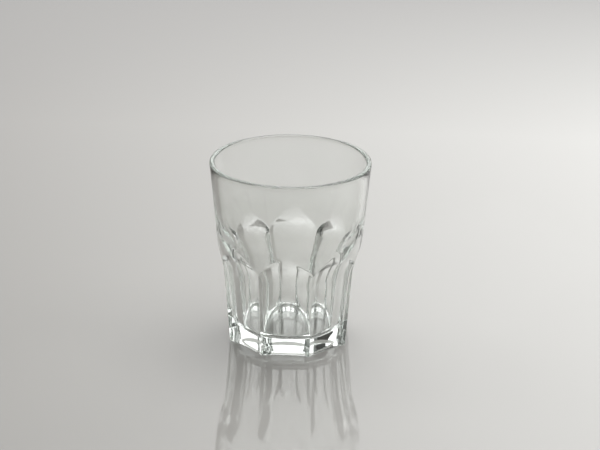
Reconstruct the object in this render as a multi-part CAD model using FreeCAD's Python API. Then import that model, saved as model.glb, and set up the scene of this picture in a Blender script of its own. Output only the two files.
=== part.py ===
# Pressed shot glass: eight shallow flutes up the lower half, scooped out under arches into a round mouth.
# It is one piece of soda-lime glass, so there is one node, glass_body.
# Millimetres, +Z up. The origin is the middle of the foot, on the surface that the glass stands on.
import FreeCAD, Part
import math
import os

from FreeCAD import Vector

# Overall sizes. The foot is measured to the middle of a flute.
HEIGHT = 58.0
RIM_RADIUS = 25.0
FOOT_RADIUS = 17.3
SIDES = 8

# A flute: its hollow radius at the foot, and how far it and its arch lean out from the foot to the rim
FLUTE_RADIUS = 37.0
FLUTE_TOP_SHARE = 0.212
SHOULDER_SHARE = 0.72

# Height where a flute starts to scoop outwards, how far above it the arch peaks, and half of a ridge's fading
SCOOP_START = 24.5
ARCH_RISE = 9.8
RIDGE_RUNOUT = 2.0

# Where the scoop turns from hollow to swelling, as shares of its width and of its height
SCOOP_TURN_OUT = 0.477
SCOOP_TURN_UP = 0.541

# Thickness of the glass: at the rim, at the upper knee, where the scoops start, beside the floor, below it
RIM_WALL = 1.6
KNEE_WALL = 1.9
FLUTE_WALL = 1.8
FOOT_WALL = 2.6
FLOOR_THICKNESS = 4.2

# The cavity's wall bends at two knees: one level with the scoops' start, one this far above it
KNEE_RISE = 13.5
KNEE_RADIUS = 50.0

# Fire-polished corners and the hollow under the foot
FLOOR_CORNER_RADIUS = 3.0
RIDGE_EASE = 0.1
FOOT_BEVEL = 0.3
FOOT_RING_WIDTH = 4.0
FOOT_HOLLOW_DEPTH = 0.7

# Room that a cutting tool has beyond the glass, and the turn that takes its seam to its far side
TOOL_CLEARANCE = 5.0
SEAM_TURN = 180

HALF_SIDE_ANGLE = math.pi / SIDES
ARCH_PEAK = SCOOP_START + ARCH_RISE
KNEE_HEIGHT = SCOOP_START + KNEE_RISE
LIP_HEIGHT = HEIGHT - RIM_WALL / 2
FLUTE_AXIS = FOOT_RADIUS + FLUTE_RADIUS
FLUTE_TOP_RADIUS = FOOT_RADIUS + FLUTE_TOP_SHARE * (RIM_RADIUS - FOOT_RADIUS)
SHOULDER_RADIUS = FOOT_RADIUS + SHOULDER_SHARE * (RIM_RADIUS - FOOT_RADIUS)


def point(radius, height):
    """A point of a section drawn in the XZ plane."""
    return Vector(radius, 0, height)


def line(start, end):
    return Part.LineSegment(start, end).toShape()


def arc(start, middle, end):
    return Part.Arc(start, middle, end).toShape()


def corner_arc(before, corner, after, radius):
    """Start, middle and end of the arc that rounds a corner between two straight lines."""
    back = (before - corner).normalize()
    ahead = (after - corner).normalize()
    half_turn = back.getAngle(ahead) / 2
    reach = radius / math.tan(half_turn)
    to_centre = (back + ahead).normalize()
    centre = corner + to_centre * (radius / math.sin(half_turn))
    return corner + back * reach, centre - to_centre * radius, corner + ahead * reach


def mouth_radius_at(height):
    """Outside radius of the round upper body, a cone from the arches' peaks to the rim."""
    slope = (RIM_RADIUS - SHOULDER_RADIUS) / (LIP_HEIGHT - ARCH_PEAK)
    return SHOULDER_RADIUS + (height - ARCH_PEAK) * slope


def cavity_edges():
    """The inside, from the lip to the middle of the floor. Each corner is a wall inside the outer surface."""
    lip = point(RIM_RADIUS - RIM_WALL, LIP_HEIGHT)
    upper_knee = point(mouth_radius_at(KNEE_HEIGHT) - KNEE_WALL, KNEE_HEIGHT)
    lower_knee = point(FLUTE_TOP_RADIUS - FLUTE_WALL, SCOOP_START)
    floor_corner = point(FOOT_RADIUS - FOOT_WALL, FLOOR_THICKNESS)
    floor_middle = point(0, FLOOR_THICKNESS)
    upper = corner_arc(lip, upper_knee, lower_knee, KNEE_RADIUS)
    lower = corner_arc(upper_knee, lower_knee, floor_corner, KNEE_RADIUS)
    floor = corner_arc(lower_knee, floor_corner, floor_middle, FLOOR_CORNER_RADIUS)
    return [
        line(lip, upper[0]),
        arc(*upper),
        line(upper[2], lower[0]),
        arc(*lower),
        line(lower[2], floor[0]),
        arc(*floor),
        line(floor[2], floor_middle),
    ]


def foot_hollow_arc():
    """Shallow dome under the foot, from its middle out to the ring that the glass stands on."""
    edge_radius = FOOT_RADIUS - FOOT_RING_WIDTH
    dome_radius = (edge_radius ** 2 + FOOT_HOLLOW_DEPTH ** 2) / (2 * FOOT_HOLLOW_DEPTH)
    half_way = edge_radius / 2
    half_way_height = FOOT_HOLLOW_DEPTH - dome_radius + math.sqrt(dome_radius ** 2 - half_way ** 2)
    return point(0, FOOT_HOLLOW_DEPTH), point(half_way, half_way_height), point(edge_radius, 0)


def lean(start, end):
    """How far the line from start to end leans out from upright, as an angle."""
    return math.atan2(end.x - start.x, end.z - start.z)


def arc_point(start, end, start_lean, height):
    """The point at a given height on the arc that leaves start with a given lean and passes through end."""
    end_lean = 2 * lean(start, end) - start_lean
    radius = (end.z - start.z) / (math.sin(end_lean) - math.sin(start_lean))
    lean_there = math.asin(math.sin(start_lean) + (height - start.z) / radius)
    return point(start.x + radius * (math.cos(start_lean) - math.cos(lean_there)), height)


def scoop_arc(start, end, start_lean):
    """An arc that leaves start with a given lean and passes through end: three points and its last lean."""
    end_lean = 2 * lean(start, end) - start_lean
    middle_height = (start.z + end.z) / 2
    return (start, arc_point(start, end, start_lean, middle_height), end), end_lean


def flute_foot():
    return point(FOOT_RADIUS, 0)


def flute_top():
    return point(FLUTE_TOP_RADIUS, SCOOP_START)


def scoop_arcs():
    """The two arcs of the scoop, hollow and then swelling, and the lean of its end at the arch's peak."""
    top = flute_top()
    peak = point(SHOULDER_RADIUS, ARCH_PEAK)
    turn = point(top.x + SCOOP_TURN_OUT * (peak.x - top.x), top.z + SCOOP_TURN_UP * (peak.z - top.z))
    hollow, turn_lean = scoop_arc(top, turn, lean(flute_foot(), top))
    swelling, peak_lean = scoop_arc(turn, peak, turn_lean)
    return hollow, swelling, peak_lean


def ridge_radius_at(flute_middle):
    """Distance from the glass's axis to a ridge, where the flutes' middles lie at flute_middle."""
    hollow_radius = FLUTE_AXIS - flute_middle
    beside = FLUTE_AXIS * math.sin(HALF_SIDE_ANGLE)
    return FLUTE_AXIS * math.cos(HALF_SIDE_ANGLE) - math.sqrt(hollow_radius ** 2 - beside ** 2)


def eased_ridge(flute_middle, height):
    """A point just inside a ridge, or on the round body if that lies further in."""
    return point(min(ridge_radius_at(flute_middle) - RIDGE_EASE, mouth_radius_at(height)), height)


def round_blank():
    """The glass before its flutes are cut: one section turned about the axis."""
    hollow = foot_hollow_arc()
    bevel = eased_ridge(FOOT_RADIUS, FOOT_BEVEL)
    foot = point(bevel.x - FOOT_BEVEL, 0)
    ridge_top = eased_ridge(FLUTE_TOP_RADIUS, SCOOP_START)
    scoop = scoop_arcs()[0]
    fading = arc_point(scoop[0], scoop[2], lean(flute_foot(), flute_top()), SCOOP_START + RIDGE_RUNOUT)
    ridge_end = eased_ridge(fading.x, fading.z)
    runout = SCOOP_START + 2 * RIDGE_RUNOUT
    shoulder = point(mouth_radius_at(runout), runout)
    rim = point(RIM_RADIUS, LIP_HEIGHT)
    crown = point(RIM_RADIUS - RIM_WALL / 2, HEIGHT)
    lip = point(RIM_RADIUS - RIM_WALL, LIP_HEIGHT)
    outside = [
        arc(*hollow),
        line(hollow[2], foot),
        line(foot, bevel),
        line(bevel, ridge_top),
        line(ridge_top, ridge_end),
        line(ridge_end, shoulder),
        line(shoulder, rim),
        arc(rim, crown, lip),
    ]
    axis = line(point(0, FLOOR_THICKNESS), hollow[0])
    section = Part.Wire(outside + cavity_edges() + [axis])
    return Part.Face(section).revolve(Vector(0, 0, 0), Vector(0, 0, 1), 360)


def flute_cutter():
    """A tool as round as a flute is hollow. It cuts one flute, its scoop and the bevel at its foot."""
    hollow, swelling, peak_lean = scoop_arcs()
    foot, top = flute_foot(), flute_top()
    bevel_start = point(FOOT_RADIUS - FOOT_BEVEL, 0)
    bevel_end = foot + (top - foot) * (FOOT_BEVEL / top.z)
    bottom = point(bevel_start.x, -TOOL_CLEARANCE)
    peak = swelling[2]
    rise = HEIGHT + TOOL_CLEARANCE - peak.z
    above = peak + point(rise * math.tan(peak_lean), rise)
    section = Part.Wire([
        line(bottom, bevel_start),
        line(bevel_start, bevel_end),
        line(bevel_end, top),
        arc(*hollow),
        arc(*swelling),
        line(peak, above),
        line(above, point(FLUTE_AXIS, above.z)),
        line(point(FLUTE_AXIS, above.z), point(FLUTE_AXIS, bottom.z)),
        line(point(FLUTE_AXIS, bottom.z), bottom),
    ])
    tool = Part.Face(section).revolve(point(FLUTE_AXIS, 0), Vector(0, 0, 1), 360)
    tool.rotate(point(FLUTE_AXIS, 0), Vector(0, 0, 1), SEAM_TURN)
    return tool


def glass_body():
    """The blank with a flute cut on each side, one of them facing -Y."""
    glass = round_blank()
    for side in range(SIDES):
        cutter = flute_cutter()
        cutter.rotate(Vector(0, 0, 0), Vector(0, 0, 1), -90 + side * 360 / SIDES)
        glass = glass.cut(cutter)
    return glass


def brimful_millilitres():
    """What the cavity holds, level with the rim's inner edge."""
    lip = point(RIM_RADIUS - RIM_WALL, LIP_HEIGHT)
    surface_middle = point(0, LIP_HEIGHT)
    axis = line(point(0, FLOOR_THICKNESS), surface_middle)
    section = Part.Wire(cavity_edges() + [axis, line(surface_middle, lip)])
    return Part.Face(section).revolve(Vector(0, 0, 0), Vector(0, 0, 1), 360).Volume / 1000


def thinnest_flute_wall():
    """Thinnest glass between the middle line of a flute and the cavity."""
    hollow, swelling, _ = scoop_arcs()
    middle_line = Part.Wire([line(flute_foot(), flute_top()), arc(*hollow), arc(*swelling)])
    return middle_line.distToShape(Part.Wire(cavity_edges()))[0]


def main():
    os.makedirs("parts", exist_ok=True)
    glass = glass_body()
    solids = glass.Solids
    glass = solids[0] if len(solids) == 1 else glass
    glass.exportStep("parts/glass_body.step")
    box = glass.optimalBoundingBox(False, True)
    print("glass_body solids", len(solids), "valid", glass.isValid(), "faces", len(glass.Faces))
    print("size", round(box.XLength, 3), round(box.YLength, 3), round(box.ZLength, 3))
    print("glass volume cm3", round(glass.Volume / 1000, 2), "brimful ml", round(brimful_millilitres(), 1))
    print("thinnest flute wall", round(thinnest_flute_wall(), 2))


main()
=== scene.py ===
# %% [markdown]
# # A pressed shot glass
# This lesson makes the finish of one clear glass around a frame that already holds its real size.
# The glass is a single piece: a round cup pressed inside a body with hollow flutes and a thick base.
# The frame is loaded first, because the glass takes its height and its rim from the frame's box.

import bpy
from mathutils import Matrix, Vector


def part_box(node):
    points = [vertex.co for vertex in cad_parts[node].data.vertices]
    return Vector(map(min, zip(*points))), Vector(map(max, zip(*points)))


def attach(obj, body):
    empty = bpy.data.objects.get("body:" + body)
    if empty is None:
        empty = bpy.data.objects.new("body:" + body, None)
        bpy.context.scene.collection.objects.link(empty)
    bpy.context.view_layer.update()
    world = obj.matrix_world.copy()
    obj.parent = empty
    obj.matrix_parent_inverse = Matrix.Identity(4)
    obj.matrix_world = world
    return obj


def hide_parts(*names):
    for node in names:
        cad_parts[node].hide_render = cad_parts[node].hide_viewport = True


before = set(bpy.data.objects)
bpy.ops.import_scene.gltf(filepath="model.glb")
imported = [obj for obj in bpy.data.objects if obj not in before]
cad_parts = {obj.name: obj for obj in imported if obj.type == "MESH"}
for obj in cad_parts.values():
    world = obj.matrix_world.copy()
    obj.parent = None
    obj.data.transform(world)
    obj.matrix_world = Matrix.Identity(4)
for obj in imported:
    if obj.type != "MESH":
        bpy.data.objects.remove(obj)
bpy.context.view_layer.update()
print("frame nodes", sorted(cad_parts))

# %% [markdown]
# ## Modules and units
# Lengths are named in millimetres, as a glassmaker would say them, and turned to metres once, at the mesh.

# %% Modules and units
import math

import bpy
import numpy as np
from mathutils import Matrix, Vector

MM = 0.001
low_corner, high_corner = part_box("glass_body")
HEIGHT = (high_corner[2] - low_corner[2]) / MM
RIM_RADIUS = (high_corner[0] - low_corner[0]) / MM / 2
print("height mm", round(HEIGHT, 2), "rim radius mm", round(RIM_RADIUS, 2))

# %% [markdown]
# ## The sizes of the glass
# The frame already has these sizes. Eight shallow flutes rise up the glass, each a hollow about
# a centre line of its own, then scoop out through the round mouth under an arch.
# What is added here is the rounding that fire polishing leaves, which the frame's cuts can't show.

# %% Sizes of the glass
SIDES = 8
FOOT_RADIUS = 17.3
FLUTE_RADIUS = 37.0
FLUTE_TOP_SHARE = 0.212
SHOULDER_SHARE = 0.72
SCOOP_START = 24.5
ARCH_PEAK = 34.3
SCOOP_TURN_OUT = 0.477
SCOOP_TURN_UP = 0.541
RIM_WALL = 1.6
KNEE_WALL = 1.9
FLUTE_WALL = 1.8
FOOT_WALL = 2.6
FLOOR_THICKNESS = 4.2
KNEE_HEIGHT = 38.0
KNEE_RADIUS = 50.0
FLOOR_CORNER_RADIUS = 3.0
FOOT_ROUNDING = 0.3
FOOT_RING_WIDTH = 4.0
FOOT_HOLLOW_DEPTH = 0.7
RIDGE_SOFTNESS = 0.12
ARCH_SOFTNESS = 0.2

SIDE_ANGLE = 2 * math.pi / SIDES
LIP_HEIGHT = HEIGHT - RIM_WALL / 2
FLUTE_AXIS = FOOT_RADIUS + FLUTE_RADIUS
FLUTE_TOP = FOOT_RADIUS + FLUTE_TOP_SHARE * (RIM_RADIUS - FOOT_RADIUS)
SHOULDER_RADIUS = FOOT_RADIUS + SHOULDER_SHARE * (RIM_RADIUS - FOOT_RADIUS)
print("flute middle mm:", FOOT_RADIUS, round(FLUTE_TOP, 2), "shoulder", round(SHOULDER_RADIUS, 2))

# %% [markdown]
# ## The middle line of a flute
# Up its middle a flute is straight, then two arcs carry it out to the peak of its arch: one hollow
# and one swelling. Each arc starts along the line before it, so there is no crease on the way.

# %% Middle line
def lean_after(start, end, lean):
    """Lean from upright at the end of an arc that leaves start with this lean and passes through end."""
    return 2 * math.atan2(end[0] - start[0], end[1] - start[1]) - lean


SCOOP_FOOT = (FLUTE_TOP, SCOOP_START)
PEAK = (SHOULDER_RADIUS, ARCH_PEAK)
TURN = (FLUTE_TOP + SCOOP_TURN_OUT * (SHOULDER_RADIUS - FLUTE_TOP),
        SCOOP_START + SCOOP_TURN_UP * (ARCH_PEAK - SCOOP_START))
FLUTE_LEAN = math.atan2(FLUTE_TOP - FOOT_RADIUS, SCOOP_START)
TURN_LEAN = lean_after(SCOOP_FOOT, TURN, FLUTE_LEAN)
PEAK_LEAN = lean_after(TURN, PEAK, TURN_LEAN)


def along_arc(height, start, end, start_lean, end_lean):
    """Radius at a height on the arc from start to end, whose lean runs between these two."""
    rate = (math.sin(end_lean) - math.sin(start_lean)) / (end[1] - start[1])
    sine = math.sin(start_lean) + rate * (height - start[1])
    return start[0] + (math.cos(start_lean) - math.sqrt(1 - sine ** 2)) / rate


def flute_middle(height):
    """Distance from the glass's axis to the middle of a flute."""
    if height <= SCOOP_START:
        return FOOT_RADIUS + math.tan(FLUTE_LEAN) * height
    if height <= TURN[1]:
        return along_arc(height, SCOOP_FOOT, TURN, FLUTE_LEAN, TURN_LEAN)
    if height <= ARCH_PEAK:
        return along_arc(height, TURN, PEAK, TURN_LEAN, PEAK_LEAN)
    return SHOULDER_RADIUS + math.tan(PEAK_LEAN) * (height - ARCH_PEAK)


def mouth_radius(height):
    """Outside radius of the round upper body, a cone from the arches' peaks to the rim."""
    slope = (RIM_RADIUS - SHOULDER_RADIUS) / (LIP_HEIGHT - ARCH_PEAK)
    return SHOULDER_RADIUS + (height - ARCH_PEAK) * slope


leans = [round(math.degrees(lean), 1) for lean in (FLUTE_LEAN, TURN_LEAN, PEAK_LEAN)]
print("lean in degrees: flute, turn, peak", leans)

# %% [markdown]
# ## Fire-polished edges
# Where two surfaces cross, flame rounds the edge. A soft minimum of the two radii does the same:
# far from the edge it is the nearer surface, and at the edge it blends them over a small distance.
# Below the arches the round body is kept just outside the ridges, and takes under 0.01 mm off them.

# %% Outside of the glass
RIDGE_MARGIN = 0.1
TIP_HEIGHT = SCOOP_START + 2.0


def soft_min(first, second, softness):
    """The smaller of two radii, blended where they are within the softness of each other."""
    blend = np.clip(0.5 + 0.5 * (second - first) / softness, 0, 1)
    return second * (1 - blend) + first * blend - softness * blend * (1 - blend)


def flute_radius(off_middle, height):
    """Distance from the glass's axis to a flute, which is round about a centre line outside the glass."""
    reach = FLUTE_AXIS - flute_middle(height)
    beside = np.maximum(reach ** 2 - (FLUTE_AXIS * np.sin(off_middle)) ** 2, 0)
    return FLUTE_AXIS * np.cos(off_middle) - np.sqrt(beside)


def round_limit(height):
    """Radius of the round body that limits the flutes at this height."""
    if height >= TIP_HEIGHT:
        return mouth_radius(height)
    foot_limit = flute_radius(SIDE_ANGLE / 2, 0.0) + RIDGE_MARGIN
    return foot_limit + (mouth_radius(TIP_HEIGHT) - foot_limit) * height / TIP_HEIGHT


def outside_radius(turns, height):
    """Outside radius at each turn, an array of angles from the middle of a flute."""
    off_middle = np.abs((turns + SIDE_ANGLE / 2) % SIDE_ANGLE - SIDE_ANGLE / 2)
    flutes = soft_min(flute_radius(off_middle, height), flute_radius(SIDE_ANGLE - off_middle, height),
                      RIDGE_SOFTNESS)
    return soft_min(flutes, round_limit(height), ARCH_SOFTNESS)


# %% [markdown]
# ## Turns around the axis
# The rings need many points at a ridge, where the surface bends sharply, and few along a flute.
# A sine spreads them that way, and the same turns serve every ring, so the rings join without a seam.

# %% Turns
HALF_SIDE_STEPS = 24
half_side = [SIDE_ANGLE / 2 * math.sin(math.pi / 2 * step / HALF_SIDE_STEPS)
             for step in range(HALF_SIDE_STEPS)]
one_side = [-turn for turn in reversed(half_side[1:])] + half_side + [SIDE_ANGLE / 2]
TURNS = np.array([side * SIDE_ANGLE + turn for side in range(SIDES) for turn in one_side])
print("points around", len(TURNS))

# %% [markdown]
# ## Rings from foot to foot
# The skin is one closed run of rings: the hollow under the foot, its bearing ring, the outside,
# the rim, the cavity wall, the floor's corner and the floor. A lathe or a cut could make each part,
# but one run keeps the glass watertight, and light bends properly only in a closed body.

# %% Rings
def level(radius, height):
    """One ring: radius may be a number or an array, one value for each turn."""
    return np.broadcast_to(np.asarray(radius, float), TURNS.shape), height


HOLLOW_STEPS = 14
BEARING_SHARES = (0.3, 0.6, 1.0)
ROUNDING_STEPS = 7
PLAIN_STEPS = 14
ARCH_STEPS = 100
ARCH_BAND_BELOW = 1.5
ARCH_BAND_ABOVE = 2.0
RIM_STEPS = 13
KNEE_STEPS = 24
CORNER_STEPS = 16
FLOOR_STEPS = 10


def foot_rings():
    """The hollow under the foot, the ring that bears the glass, and the rounding at its edge."""
    edge = FOOT_RADIUS - FOOT_RING_WIDTH
    dome = (edge ** 2 + FOOT_HOLLOW_DEPTH ** 2) / (2 * FOOT_HOLLOW_DEPTH)
    hollow = [level(radius, FOOT_HOLLOW_DEPTH - dome + math.sqrt(dome ** 2 - radius ** 2))
              for radius in np.linspace(edge / HOLLOW_STEPS, edge, HOLLOW_STEPS)]
    corner = outside_radius(TURNS, 0.0) - FOOT_ROUNDING
    bearing = [level(edge + (corner - edge) * share, 0.0) for share in BEARING_SHARES]
    rounding = []
    for angle in np.linspace(0, math.pi / 2, ROUNDING_STEPS)[1:]:
        height = FOOT_ROUNDING * (1 - math.cos(angle))
        radius = outside_radius(TURNS, height) - FOOT_ROUNDING * (1 - math.sin(angle))
        rounding.append(level(radius, height))
    return hollow + bearing + rounding


def outside_rings():
    """The outside from the foot to the lip, with the rings close together where the arches curve."""
    band_foot = SCOOP_START - ARCH_BAND_BELOW
    band_top = ARCH_PEAK + ARCH_BAND_ABOVE
    flutes = np.linspace(FOOT_ROUNDING, band_foot, PLAIN_STEPS)[1:]
    arches = np.linspace(band_foot, band_top, ARCH_STEPS)[1:]
    upper = np.linspace(band_top, LIP_HEIGHT, PLAIN_STEPS)[1:]
    return [level(outside_radius(TURNS, height), height) for height in (*flutes, *arches, *upper)]


def rim_rings():
    """Half a circle over the lip, from the outside to the cavity."""
    middle = RIM_RADIUS - RIM_WALL / 2
    return [level(middle + RIM_WALL / 2 * math.cos(angle), LIP_HEIGHT + RIM_WALL / 2 * math.sin(angle))
            for angle in np.linspace(0, math.pi, RIM_STEPS)[1:]]


def rounded(before, corner, after, radius, steps):
    """Points of the arc that rounds a corner of the cavity's section."""
    back = (before - corner).normalized()
    ahead = (after - corner).normalized()
    half_turn = back.angle(ahead) / 2
    centre = corner + (back + ahead).normalized() * radius / math.sin(half_turn)
    first = corner + back * radius / math.tan(half_turn) - centre
    last = corner + ahead * radius / math.tan(half_turn) - centre
    return [centre + (first * math.sin((1 - share) * first.angle(last))
                      + last * math.sin(share * first.angle(last))) / math.sin(first.angle(last))
            for share in np.linspace(0, 1, steps)]


def cavity_rings():
    """The cavity from the lip down its two knees, round the floor's corner and in to the middle."""
    lip = Vector((RIM_RADIUS - RIM_WALL, LIP_HEIGHT))
    upper_knee = Vector((mouth_radius(KNEE_HEIGHT) - KNEE_WALL, KNEE_HEIGHT))
    lower_knee = Vector((FLUTE_TOP - FLUTE_WALL, SCOOP_START))
    corner = Vector((FOOT_RADIUS - FOOT_WALL, FLOOR_THICKNESS))
    floor_middle = Vector((0, FLOOR_THICKNESS))
    points = [lip.lerp(upper_knee, share) for share in (0.2, 0.4, 0.6)]
    points += rounded(lip, upper_knee, lower_knee, KNEE_RADIUS, KNEE_STEPS)
    points += rounded(upper_knee, lower_knee, corner, KNEE_RADIUS, KNEE_STEPS)
    points += [lower_knee.lerp(corner, share) for share in (0.4, 0.6, 0.75)]
    points += rounded(lower_knee, corner, floor_middle, FLOOR_CORNER_RADIUS, CORNER_STEPS)
    points += [Vector((points[-1].x * share, FLOOR_THICKNESS))
               for share in np.linspace(1, 0.1, FLOOR_STEPS)[1:]]
    return [level(*point) for point in points]


rings = foot_rings() + outside_rings() + rim_rings() + cavity_rings()
print("rings", len(rings))

# %% [markdown]
# ## The skin
# Neighbouring rings are joined by four-sided faces, and a fan closes each end on the axis.
# Smooth shading follows the real curvature, because the rings are dense where it changes.

# %% Skin mesh
def skin_mesh(name, rings):
    """One closed mesh from the rings, the first and the last of them closed by a fan."""
    around = len(TURNS)
    points = [(0.0, 0.0, rings[0][1] * MM)]
    for radius, height in rings:
        across = radius * np.sin(TURNS) * MM
        along = -radius * np.cos(TURNS) * MM
        points += [(x, y, height * MM) for x, y in zip(across.tolist(), along.tolist())]
    points.append((0.0, 0.0, rings[-1][1] * MM))
    faces = []
    for turn in range(around):
        following = (turn + 1) % around
        faces.append((0, 1 + following, 1 + turn))
        for ring in range(len(rings) - 1):
            lower = 1 + ring * around
            upper = lower + around
            faces.append((lower + turn, lower + following, upper + following, upper + turn))
        top = 1 + (len(rings) - 1) * around
        faces.append((top + turn, top + following, len(points) - 1))
    mesh = bpy.data.meshes.new(name)
    mesh.from_pydata(points, [], faces)
    mesh.shade_smooth()
    return mesh


glass = bpy.data.objects.new("pressed_glass", skin_mesh("pressed_glass", rings))
bpy.context.scene.collection.objects.link(glass)
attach(glass, "root")
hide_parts("glass_body")
print("glass faces", len(glass.data.polygons))

# %% [markdown]
# ## Colours and nodes
# Colours are written as a designer reads them, in sRGB hex, and one function turns them to the linear
# values that a shader needs. Another adds a node with its settings and its links.

# %% Colour and node helpers
def linear(hex_colour):
    """The linear colour, with alpha 1, of an sRGB hex colour."""
    channels = [int(hex_colour[start:start + 2], 16) / 255 for start in (1, 3, 5)]
    return (*[c / 12.92 if c <= 0.04045 else ((c + 0.055) / 1.055) ** 2.4 for c in channels], 1.0)


def add_node(tree, kind, settings=None, links=None):
    """A node of that kind. settings holds its properties and plain sockets, links its linked sockets."""
    node = tree.nodes.new(kind)
    for key, value in (settings or {}).items():
        if isinstance(key, str) and hasattr(node, key):
            setattr(node, key, value)
        else:
            node.inputs[key].default_value = value
    for socket, source in (links or {}).items():
        tree.links.new(source, node.inputs[socket])
    return node


COLOUR_A, COLOUR_B, COLOUR_OUT = 6, 7, 2  # a Mix node's sockets for colours, which share names with others


def new_material(name):
    material = bpy.data.materials.new(name)
    material.use_nodes = True
    material.node_tree.nodes.clear()
    return material, material.node_tree


# %% [markdown]
# ## Soda-lime glass, pressed and fire-polished
# Soda-lime glass bends light at an index of about 1.52 and holds a trace of iron, which shows
# as a faint green where it is thick. A mould never leaves it quite flat: a slow waviness of some
# millimetres stays after polishing, and breaks up the lights that it mirrors.

# %% Glass material
GLASS_IOR = 1.52
WAVE_LENGTH_MM = 7.0
WAVE_HEIGHT_MM = 0.006
IRON_DENSITY = 6.0


def soda_lime_glass():
    """Clear glass with a faint green in its depth and a slow waviness on its skin."""
    material, tree = new_material("soda_lime_glass_pressed")
    place = add_node(tree, "ShaderNodeTexCoord").outputs["Object"]
    waves = add_node(tree, "ShaderNodeTexNoise", {"Scale": 1 / (WAVE_LENGTH_MM * MM), "Detail": 2.0},
                     {"Vector": place}).outputs["Fac"]
    bump = add_node(tree, "ShaderNodeBump", {"Strength": 1.0, "Distance": WAVE_HEIGHT_MM * MM},
                    {"Height": waves})
    tint = add_node(tree, "ShaderNodeMix",
                    {"data_type": "RGBA", COLOUR_A: linear("#FCFEFC"), COLOUR_B: linear("#FFFFFF")},
                    {"Factor": waves})
    shader = add_node(tree, "ShaderNodeBsdfPrincipled",
                      {"Transmission Weight": 1.0, "Roughness": 0.0, "IOR": GLASS_IOR},
                      {"Base Color": tint.outputs[COLOUR_OUT], "Normal": bump.outputs["Normal"]})
    iron = add_node(tree, "ShaderNodeVolumeAbsorption",
                    {"Color": linear("#E4F4E9"), "Density": IRON_DENSITY})
    add_node(tree, "ShaderNodeOutputMaterial", None,
             {"Surface": shader.outputs["BSDF"], "Volume": iron.outputs["Volume"]})
    return material


glass.data.materials.append(soda_lime_glass())
print("material", glass.data.materials[0].name)

# %% [markdown]
# ## Floor and backdrop
# The glass stands on a satin acrylic sheet that bends up behind it into a backdrop. Light and shade are
# painted into the sheet's colour: painted shade grey on the left, painted light pale on the right, and a
# deeper painted shade far behind.
# Glass has to stand clear of the sheet by a hair of air, as a real foot does: pressed flat against it,
# the two would act as one body, and the base would turn black.

# %% Floor and backdrop
AIR_GAP = 0.00005
ACRYLIC_IOR = 1.49
SATIN_ROUGHNESS = 0.05
# The sheet's tones are painted light and shade: darker at the left, paler at the right, darker far behind.
PAINTED_SHADE_HALF_WIDTH = 0.16
PAINTED_SHADE_LEFT = "#827F7A"
PAINTED_LIGHT_RIGHT = "#D2D1CE"
PAINTED_SHADE_FAR = "#6A6865"
FADE_START = 0.2
FADE_END = 0.42
FADE_SHARE = 0.8
SWEEP_HALF_WIDTH = 1.6
SWEEP_FRONT = -1.2
SWEEP_BEND_START = 0.9
SWEEP_BEND_RADIUS = 0.6
SWEEP_BEND_STEPS = 25
SWEEP_TOP = 1.6


def sweep_section():
    """The sheet's line from front to top: flat, bent through a quarter turn, upright."""
    radius = SWEEP_BEND_RADIUS
    bend = [(SWEEP_BEND_START + radius * math.sin(angle), radius * (1 - math.cos(angle)))
            for angle in np.linspace(0, math.pi / 2, SWEEP_BEND_STEPS)]
    return [(SWEEP_FRONT, 0.0), *bend, (SWEEP_BEND_START + radius, SWEEP_TOP)]


def sweep_sheet():
    points = [(side * SWEEP_HALF_WIDTH, y, z - AIR_GAP) for y, z in sweep_section() for side in (-1, 1)]
    faces = [(row, row + 1, row + 3, row + 2) for row in range(0, len(points) - 2, 2)]
    mesh = bpy.data.meshes.new("sweep")
    mesh.from_pydata(points, [], faces)
    mesh.shade_smooth()
    sheet = bpy.data.objects.new("sweep", mesh)
    bpy.context.scene.collection.objects.link(sheet)
    return sheet


def satin_acrylic():
    """Acrylic with painted light and shade: darker on the left and far behind, paler on the right,
    standing in for the fall of light.
    """
    material, tree = new_material("acrylic_satin_painted_shade")
    place = add_node(tree, "ShaderNodeTexCoord").outputs["Object"]
    axes = add_node(tree, "ShaderNodeSeparateXYZ", None, {"Vector": place}).outputs
    # Painted shade across the sheet, from dark at the left to pale at the right.
    share = add_node(tree, "ShaderNodeMapRange",
                     {"From Min": -PAINTED_SHADE_HALF_WIDTH, "From Max": PAINTED_SHADE_HALF_WIDTH}, {"Value": axes["X"]})
    across = add_node(tree, "ShaderNodeMix",
                      {"data_type": "RGBA", COLOUR_A: linear(PAINTED_SHADE_LEFT), COLOUR_B: linear(PAINTED_LIGHT_RIGHT)},
                      {"Factor": share.outputs["Result"]})
    # Painted shade that deepens far behind the glass.
    fade = add_node(tree, "ShaderNodeMapRange",
                    {"From Min": FADE_START, "From Max": FADE_END, "To Max": FADE_SHARE},
                    {"Value": axes["Y"]})
    tone = add_node(tree, "ShaderNodeMix", {"data_type": "RGBA", COLOUR_B: linear(PAINTED_SHADE_FAR)},
                    {"Factor": fade.outputs["Result"], COLOUR_A: across.outputs[COLOUR_OUT]})
    shader = add_node(tree, "ShaderNodeBsdfPrincipled",
                      {"Roughness": SATIN_ROUGHNESS, "IOR": ACRYLIC_IOR},
                      {"Base Color": tone.outputs[COLOUR_OUT]})
    add_node(tree, "ShaderNodeOutputMaterial", None, {"Surface": shader.outputs["BSDF"]})
    return material


sweep = sweep_sheet()
sweep.data.materials.append(satin_acrylic())

# %% [markdown]
# ## Soft studio light
# Clear glass shows what surrounds it. The widest lamp hangs behind and fills the base with white,
# another above lights the sheet, a strip between them whitens the arches over the floor, and two
# smaller ones put a glint on the rim. The dim room between them draws the edges dark.

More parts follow.
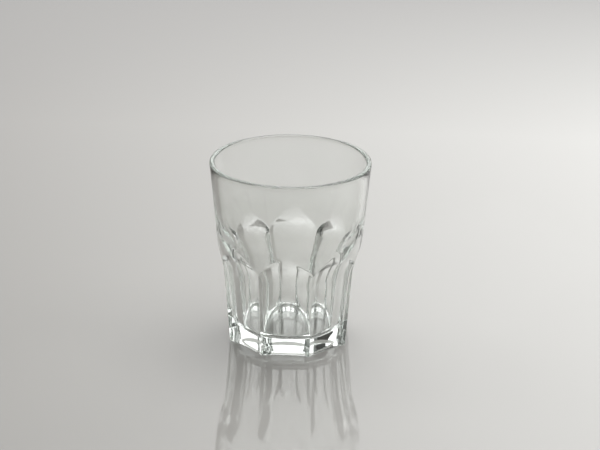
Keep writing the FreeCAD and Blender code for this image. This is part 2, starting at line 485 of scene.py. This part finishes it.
# %% Lights
def softbox(name, place, target, width, height, watts):
    """A flat lamp at a place in metres, turned to face its target."""
    lamp = bpy.data.lights.new(name, "AREA")
    lamp.shape = "RECTANGLE"
    lamp.size = width
    lamp.size_y = height
    lamp.energy = watts
    holder = bpy.data.objects.new(name, lamp)
    bpy.context.scene.collection.objects.link(holder)
    holder.location = place
    aim = Vector(target) - Vector(place)
    holder.rotation_euler = aim.to_track_quat("-Z", "Y").to_euler()
    return holder


LIT_SPOT = (0, 0, 0.03)
softbox("softbox_above", (0.15, -0.05, 1.0), (0, 0.1, 0), 1.0, 1.0, 4.5)
softbox("softbox_behind", (0.2, 1.0, 0.75), LIT_SPOT, 1.6, 1.2, 9.0)
softbox("softbox_right", (0.9, 0.0, 0.6), LIT_SPOT, 0.7, 0.7, 2.0)
softbox("softbox_left", (-0.7, 0.35, 0.75), LIT_SPOT, 0.25, 0.25, 0.6)
softbox("strip_overhead", (0.05, 0.3, 0.8), LIT_SPOT, 1.0, 0.3, 3.0)

ROOM_STRENGTH = 0.2
world = bpy.data.worlds.new("studio_room")
bpy.context.scene.world = world
world.use_nodes = True
room = world.node_tree.nodes["Background"]
room.inputs["Color"].default_value = linear("#C8CAC6")
room.inputs["Strength"].default_value = ROOM_STRENGTH

# %% [markdown]
# ## Camera
# A long lens, far off, keeps the sides nearly parallel. The camera looks down at about 21 degrees,
# stands 3 degrees to the right of a flute's middle, and leans by under a degree.

# %% Camera
CAMERA_TURN = math.radians(3.0)
CAMERA_RISE = math.radians(20.94)
CAMERA_LEAN = math.radians(0.69)
CAMERA_DISTANCE = 0.75
LENS_MM = 144.8
AIM_RIGHT = 0.00312
AIM_HEIGHT = 0.0366

back = Vector((math.sin(CAMERA_TURN) * math.cos(CAMERA_RISE),
               -math.cos(CAMERA_TURN) * math.cos(CAMERA_RISE),
               math.sin(CAMERA_RISE)))
right = Vector((math.cos(CAMERA_TURN), math.sin(CAMERA_TURN), 0))
upward = back.cross(right)
leaned_right = right * math.cos(CAMERA_LEAN) + upward * math.sin(CAMERA_LEAN)
leaned_up = upward * math.cos(CAMERA_LEAN) - right * math.sin(CAMERA_LEAN)
place = right * AIM_RIGHT + Vector((0, 0, AIM_HEIGHT)) + back * CAMERA_DISTANCE

camera = bpy.data.objects.new("camera", bpy.data.cameras.new("camera"))
bpy.context.scene.collection.objects.link(camera)
camera.data.lens = LENS_MM
camera.data.sensor_width = 36.0
camera.data.clip_start = 0.01
camera.data.clip_end = 20.0
camera.matrix_world = Matrix((
    (leaned_right.x, leaned_up.x, back.x, place.x),
    (leaned_right.y, leaned_up.y, back.y, place.y),
    (leaned_right.z, leaned_up.z, back.z, place.z),
    (0, 0, 0, 1),
))
bpy.context.scene.camera = camera

# %% [markdown]
# ## Light paths and tones
# Light crosses a glass wall many times before it reaches the eye, so it gets many bounces.

# %% Light paths and tones
BOUNCES = 24
INDIRECT_CLAMP = 6.0
scene = bpy.context.scene
scene.cycles.max_bounces = BOUNCES
scene.cycles.transmission_bounces = BOUNCES
scene.cycles.glossy_bounces = BOUNCES
scene.cycles.sample_clamp_indirect = INDIRECT_CLAMP
scene.view_settings.view_transform = "Standard"
